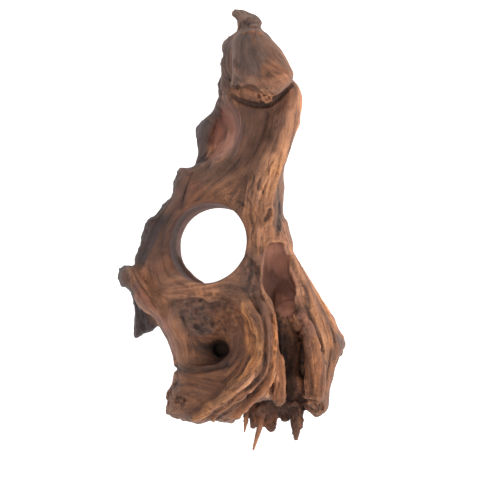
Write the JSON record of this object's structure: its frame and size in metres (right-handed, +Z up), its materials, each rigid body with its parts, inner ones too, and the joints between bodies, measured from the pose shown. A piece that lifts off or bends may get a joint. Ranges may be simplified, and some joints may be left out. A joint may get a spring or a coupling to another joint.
{
  "type": "aquarium driftwood",
  "caption": "Weathered root-crown driftwood with a head burl, a drilled through bore, side bites, a burr cup and splintered root ends.",
  "frame": {"origin": "on the surface that the wood lies on, under the middle of its bounding box", "axes": "+X to the right as the picture shows it, +Y along the length from the broken roots to the head, +Z up from the surface, towards the picture's viewer"},
  "size_m": [0.1557, 0.2997, 0.0907],
  "materials": {
    "burl_wood": "dry weathered burl",
    "trunk_wood": "dry weathered root wood",
    "cup_wood": "dry weathered burr wood",
    "flare_wood": "dry weathered root wood",
    "broken_root": "splintered dark root",
    "spur_bark": "grey-black bark"
  },
  "bodies": {
    "root": {"head_burl": "burl_wood", "trunk": "trunk_wood", "cup_lobe": "cup_wood", "root_flare": "flare_wood", "root_stubs": "broken_root", "side_spur": "spur_bark"}
  },
  "joints": []
}
